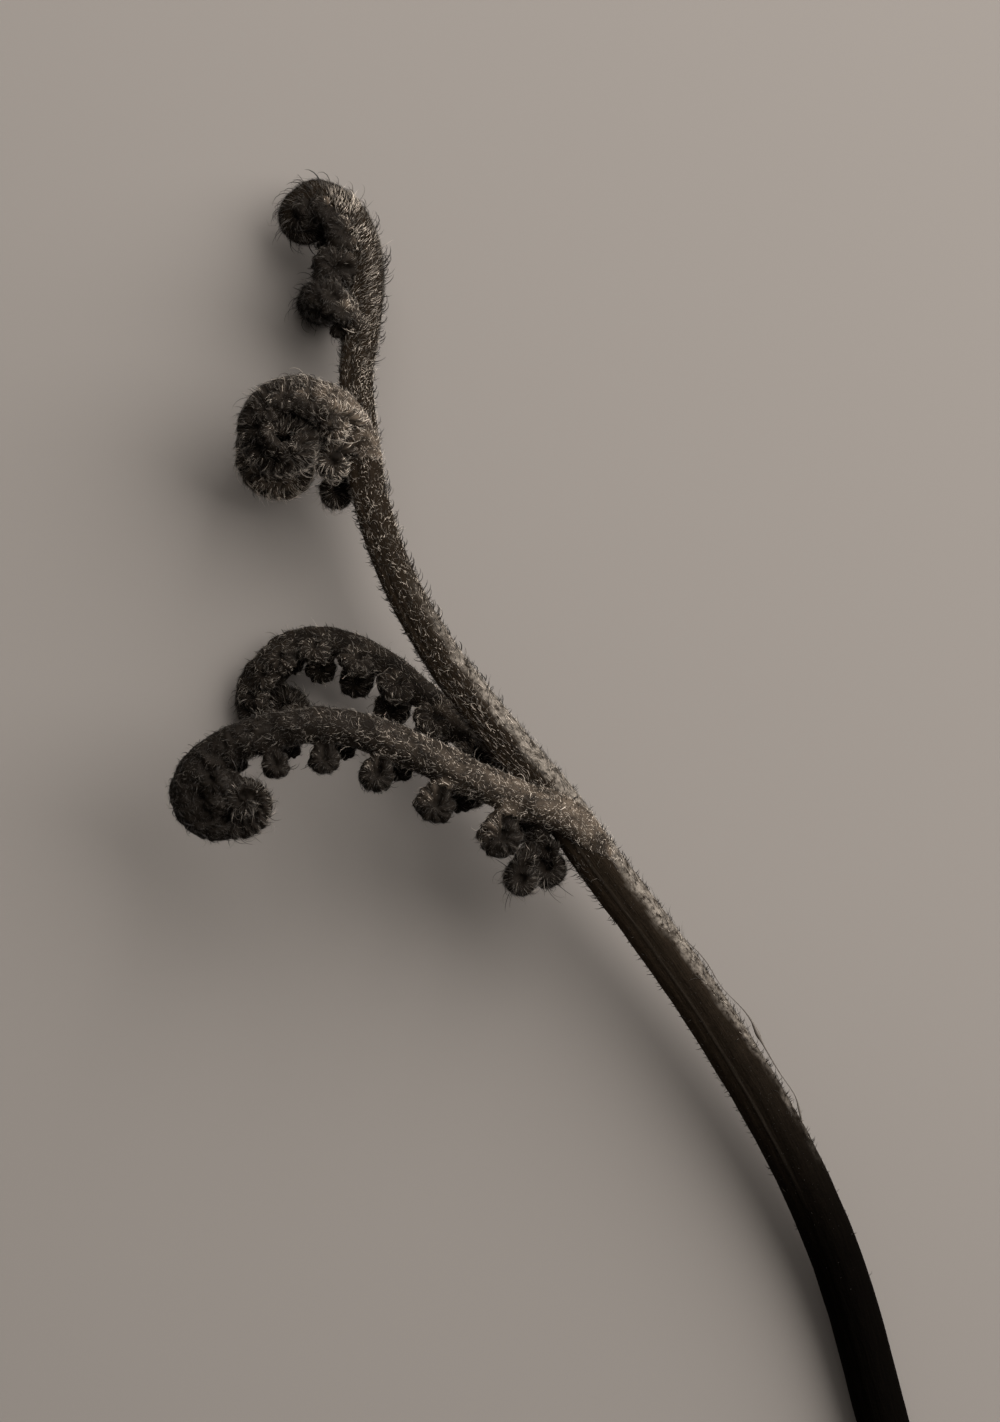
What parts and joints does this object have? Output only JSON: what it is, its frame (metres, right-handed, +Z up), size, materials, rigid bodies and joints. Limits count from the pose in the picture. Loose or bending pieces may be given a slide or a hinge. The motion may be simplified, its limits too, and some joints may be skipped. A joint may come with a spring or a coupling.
{
  "type": "fern frond",
  "caption": "Young hairy bracken fern frond, cut and laid flat, with a curved stalk, curled pairs of budded leaflets and a coiled crown.",
  "frame": {"origin": "on the ground plane, at the middle of the footprint of the frond as it lies", "axes": "+Z up from the ground, +Y along the frond from its cut end to its crown, +X towards the outer side of its curls"},
  "size_m": [0.0906, 0.1582, 0.0205],
  "materials": {
    "frond_skin": "dark brown living skin, satin on the lower stalk and matt under the hair",
    "frond_hair": "short curved tan to brown hairs, soft sheen",
    "frond_cut": "moist pale pith of the cut end with dark vein bundles"
  },
  "bodies": {
    "root": {"frond": "frond_skin"}
  },
  "joints": []
}
